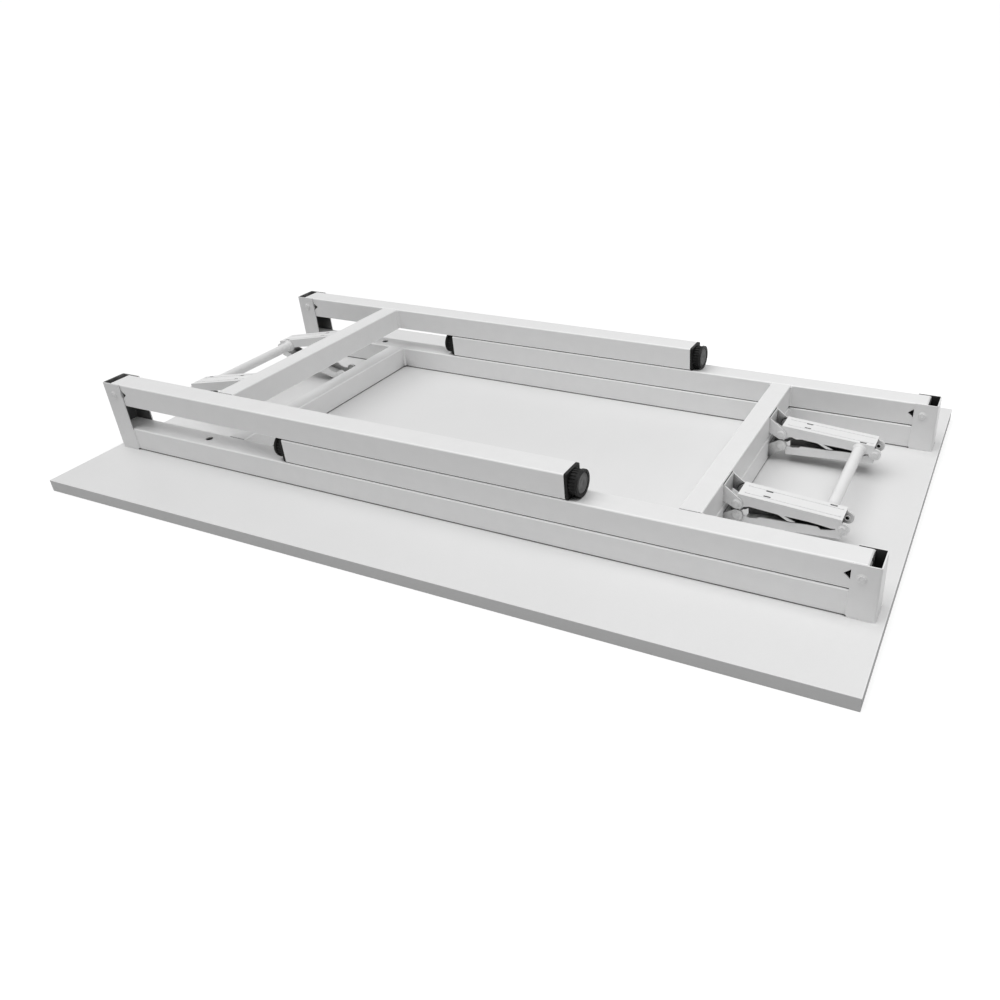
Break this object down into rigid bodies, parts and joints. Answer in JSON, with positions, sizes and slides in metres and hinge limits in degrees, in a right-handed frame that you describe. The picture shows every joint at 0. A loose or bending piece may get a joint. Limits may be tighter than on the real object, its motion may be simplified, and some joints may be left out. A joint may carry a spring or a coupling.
{
  "type": "folding desk",
  "caption": "Folding desk with a laminate top, two folding tube leg frames, toggle braces with grip rods and levelling feet, folded flat on its top.",
  "frame": {"origin": "middle of the working surface, which faces down at rest", "axes": "+X along the desk towards the end with the low brackets, +Y towards the far long edge, +Z from the working surface up through its underside"},
  "size_m": [1, 0.6, 0.1066],
  "materials": {
    "laminate": "white melamine laminate on chipboard, fine matt texture",
    "edge_band": "satin plastic edge band",
    "painted_tube": "satin white powder coat",
    "painted_sheet": "satin white powder coat on stamped sheet",
    "painted_rod": "satin white powder coat",
    "painted_rivets": "painted rivet heads",
    "painted_welds": "painted weld beads",
    "cap_plastic": "black moulded plastic",
    "foot_plastic": "black moulded plastic",
    "zinc_steel": "zinc-plated steel"
  },
  "bodies": {
    "desktop": {"desktop_board": "laminate", "edge_bands": "edge_band", "near_rail": "painted_tube", "far_rail": "painted_tube", "left_cross_rail": "painted_tube", "right_cross_rail": "painted_tube", "left_near_bracket": "painted_tube", "left_far_bracket": "painted_tube", "right_near_bracket": "painted_tube", "right_far_bracket": "painted_tube", "left_pivot_rivets": "painted_rivets", "right_pivot_rivets": "painted_rivets", "rail_screws": "zinc_steel", "rail_welds": "painted_welds", "left_lower_ears": "painted_sheet", "right_lower_ears": "painted_sheet", "left_lower_rivets": "painted_rivets", "right_lower_rivets": "painted_rivets"},
    "left_leg_frame": {"left_near_leg": "painted_tube", "left_far_leg": "painted_tube", "left_leg_cross_bar": "painted_tube", "left_upper_ears": "painted_sheet", "left_upper_rivets": "painted_rivets", "left_frame_welds": "painted_welds", "left_near_foot_cap": "cap_plastic", "left_far_foot_cap": "cap_plastic", "left_foot_nuts": "zinc_steel"},
    "left_lower_arms": {"left_near_lower_arm": "painted_sheet", "left_far_lower_arm": "painted_sheet", "left_knee_rivets": "painted_rivets"},
    "left_upper_arms": {"left_near_upper_arm": "painted_sheet", "left_far_upper_arm": "painted_sheet", "left_grip_rod": "painted_rod"},
    "left_near_screw": {"left_near_stud": "zinc_steel"},
    "left_near_foot": {"left_near_disc": "foot_plastic"},
    "left_far_screw": {"left_far_stud": "zinc_steel"},
    "left_far_foot": {"left_far_disc": "foot_plastic"},
    "right_leg_frame": {"right_near_leg": "painted_tube", "right_far_leg": "painted_tube", "right_leg_cross_bar": "painted_tube", "right_upper_ears": "painted_sheet", "right_upper_rivets": "painted_rivets", "right_frame_welds": "painted_welds", "right_near_foot_cap": "cap_plastic", "right_far_foot_cap": "cap_plastic", "right_foot_nuts": "zinc_steel"},
    "right_lower_arms": {"right_near_lower_arm": "painted_sheet", "right_far_lower_arm": "painted_sheet", "right_knee_rivets": "painted_rivets"},
    "right_upper_arms": {"right_near_upper_arm": "painted_sheet", "right_far_upper_arm": "painted_sheet", "right_grip_rod": "painted_rod"},
    "right_near_screw": {"right_near_stud": "zinc_steel"},
    "right_near_foot": {"right_near_disc": "foot_plastic"},
    "right_far_screw": {"right_far_stud": "zinc_steel"},
    "right_far_foot": {"right_far_disc": "foot_plastic"}
  },
  "joints": [
    {"name": "left_fold", "type": "hinge", "parent": "desktop", "child": "left_leg_frame", "pos_m": [-0.4747, 0, 0.0916], "axis": [0, -1, 0], "range_deg": [0, 90]},
    {"name": "right_fold", "type": "hinge", "parent": "desktop", "child": "right_leg_frame", "pos_m": [0.4747, 0, 0.0608], "axis": [0, 1, 0], "range_deg": [0, 90]},
    {"name": "left_lower_arm_swing", "type": "hinge", "parent": "desktop", "child": "left_lower_arms", "pos_m": [-0.3472, 0, 0.0301], "axis": [0, 1, 0], "range_deg": [0, 43.9]},
    {"name": "left_knee", "type": "hinge", "parent": "left_lower_arms", "child": "left_upper_arms", "pos_m": [-0.45518, 0, 0.05841], "axis": [0, -1, 0], "range_deg": [0, 153.8]},
    {"name": "right_lower_arm_swing", "type": "hinge", "parent": "desktop", "child": "right_lower_arms", "pos_m": [0.3252, 0, 0.0375], "axis": [0, -1, 0], "range_deg": [0, 46.7]},
    {"name": "right_knee", "type": "hinge", "parent": "right_lower_arms", "child": "right_upper_arms", "pos_m": [0.43667, 0, 0.04525], "axis": [0, 1, 0], "range_deg": [0, 172.1]},
    {"name": "left_near_screw_travel", "type": "slide", "parent": "left_leg_frame", "child": "left_near_screw", "axis": [1, 0, 0], "range_m": [0, 0.01]},
    {"name": "left_near_foot_turn", "type": "hinge", "parent": "left_near_screw", "child": "left_near_foot", "pos_m": [0.1732, -0.181, 0.0916], "axis": [1, 0, 0], "range_deg": [0, 2880]},
    {"name": "left_far_screw_travel", "type": "slide", "parent": "left_leg_frame", "child": "left_far_screw", "axis": [1, 0, 0], "range_m": [0, 0.01]},
    {"name": "left_far_foot_turn", "type": "hinge", "parent": "left_far_screw", "child": "left_far_foot", "pos_m": [0.1732, 0.181, 0.0916], "axis": [1, 0, 0], "range_deg": [0, 2880]},
    {"name": "right_near_screw_travel", "type": "slide", "parent": "right_leg_frame", "child": "right_near_screw", "axis": [-1, 0, 0], "range_m": [0, 0.01]},
    {"name": "right_near_foot_turn", "type": "hinge", "parent": "right_near_screw", "child": "right_near_foot", "pos_m": [-0.204, -0.181, 0.0608], "axis": [-1, 0, 0], "range_deg": [0, 2880]},
    {"name": "right_far_screw_travel", "type": "slide", "parent": "right_leg_frame", "child": "right_far_screw", "axis": [-1, 0, 0], "range_m": [0, 0.01]},
    {"name": "right_far_foot_turn", "type": "hinge", "parent": "right_far_screw", "child": "right_far_foot", "pos_m": [-0.204, 0.181, 0.0608], "axis": [-1, 0, 0], "range_deg": [0, 2880]}
  ],
  "couplings": [
    {"joint": "right_fold", "follows": "left_fold", "ratio": 0.36},
    {"joint": "left_lower_arm_swing", "follows": "left_fold", "ratio": 0.48698},
    {"joint": "left_knee", "follows": "left_fold", "ratio": 1.7088},
    {"joint": "right_lower_arm_swing", "follows": "left_fold", "ratio": 0.12303},
    {"joint": "right_knee", "follows": "left_fold", "ratio": 0.49398},
    {"joint": "left_near_screw_travel", "follows": "left_near_foot_turn", "m_per_rad": 0.00019894},
    {"joint": "left_far_screw_travel", "follows": "left_far_foot_turn", "m_per_rad": 0.00019894},
    {"joint": "right_near_screw_travel", "follows": "right_near_foot_turn", "m_per_rad": 0.00019894},
    {"joint": "right_far_screw_travel", "follows": "right_far_foot_turn", "m_per_rad": 0.00019894}
  ]
}
